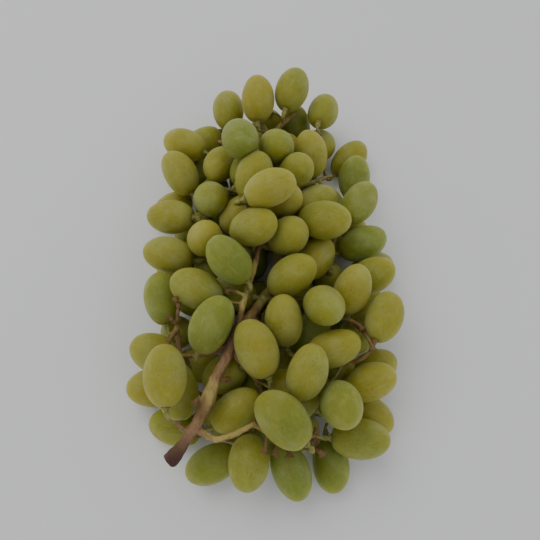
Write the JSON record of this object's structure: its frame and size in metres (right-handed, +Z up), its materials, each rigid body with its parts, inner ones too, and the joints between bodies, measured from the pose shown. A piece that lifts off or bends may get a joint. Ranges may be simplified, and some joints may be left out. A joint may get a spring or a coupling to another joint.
{
  "type": "bunch of grapes",
  "caption": "Bunch of seedless green table grapes lying on its side, oval berries on a branched woody stem with a cut end.",
  "frame": {"origin": "middle of the bunch's footprint, on the surface it lies on", "axes": "+Z up; +Y along the bunch, away from the cut end of its stem; +X to its right seen from above"},
  "size_m": [0.1218, 0.199, 0.0636],
  "materials": {
    "berry_skin": "satin, waxy and slightly translucent",
    "stem_wood": "matt, dry and ridged"
  },
  "bodies": {
    "root": {"berry_01": "berry_skin", "berry_02": "berry_skin", "berry_03": "berry_skin", "berry_04": "berry_skin", "berry_05": "berry_skin", "berry_06": "berry_skin", "berry_07": "berry_skin", "berry_08": "berry_skin", "berry_09": "berry_skin", "berry_10": "berry_skin", "berry_11": "berry_skin", "berry_12": "berry_skin", "berry_13": "berry_skin", "berry_14": "berry_skin", "berry_15": "berry_skin", "berry_16": "berry_skin", "berry_17": "berry_skin", "berry_18": "berry_skin", "berry_19": "berry_skin", "berry_20": "berry_skin", "berry_21": "berry_skin", "berry_22": "berry_skin", "berry_23": "berry_skin", "berry_24": "berry_skin", "berry_25": "berry_skin", "berry_26": "berry_skin", "berry_27": "berry_skin", "berry_28": "berry_skin", "berry_29": "berry_skin", "berry_30": "berry_skin", "berry_31": "berry_skin", "berry_32": "berry_skin", "berry_33": "berry_skin", "berry_34": "berry_skin", "berry_35": "berry_skin", "berry_36": "berry_skin", "berry_37": "berry_skin", "berry_38": "berry_skin", "berry_39": "berry_skin", "berry_40": "berry_skin", "deep_berries_01": "berry_skin", "deep_berries_02": "berry_skin", "deep_berries_03": "berry_skin", "deep_berries_04": "berry_skin", "deep_berries_05": "berry_skin", "deep_berries_06": "berry_skin", "deep_berries_07": "berry_skin", "deep_berries_08": "berry_skin", "deep_berries_09": "berry_skin", "deep_berries_10": "berry_skin", "deep_berries_11": "berry_skin", "deep_berries_12": "berry_skin", "deep_berries_13": "berry_skin", "deep_berries_14": "berry_skin", "deep_berries_15": "berry_skin", "deep_berries_16": "berry_skin", "deep_berries_17": "berry_skin", "deep_berries_18": "berry_skin", "deep_berries_19": "berry_skin", "stem": "stem_wood"}
  },
  "joints": []
}
